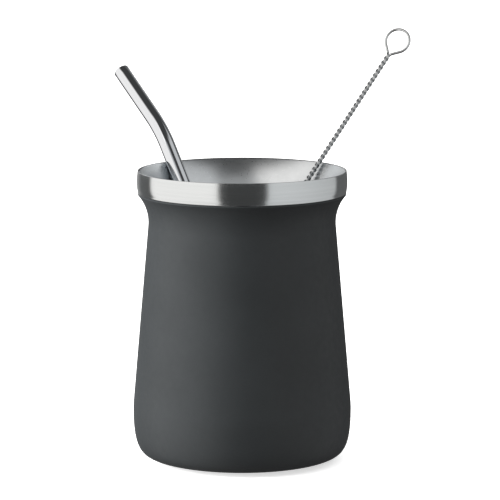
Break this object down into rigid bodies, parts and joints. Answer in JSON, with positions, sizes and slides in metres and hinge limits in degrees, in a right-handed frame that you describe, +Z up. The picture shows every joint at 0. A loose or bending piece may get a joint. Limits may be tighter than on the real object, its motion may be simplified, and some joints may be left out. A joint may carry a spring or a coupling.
{
  "type": "mate cup with straw",
  "caption": "Double-walled steel mate cup, coated charcoal grey with a bare steel rim, holding a bent steel straw and the twisted wire stem of a straw brush",
  "frame": {"origin": "centre of the cup's flat foot, on the cup's own axis, at the height of the surface that it stands on", "axes": "+Z up along the cup's axis, +X to the right and +Y to the back as the picture shows it; the straw leans to the back left and the wire stem to the back right"},
  "size_m": [0.1138, 0.0877, 0.1604],
  "materials": {
    "coated_shell": "satin charcoal coating over steel",
    "bare_steel": "brushed round the rim, satin inside",
    "polished_straw": "polished steel tube",
    "stem_wire": "bright drawn steel wire"
  },
  "bodies": {
    "root": {"body_shell": "coated_shell", "steel_liner": "bare_steel", "straw": "polished_straw", "brush_wire": "stem_wire"}
  },
  "joints": []
}
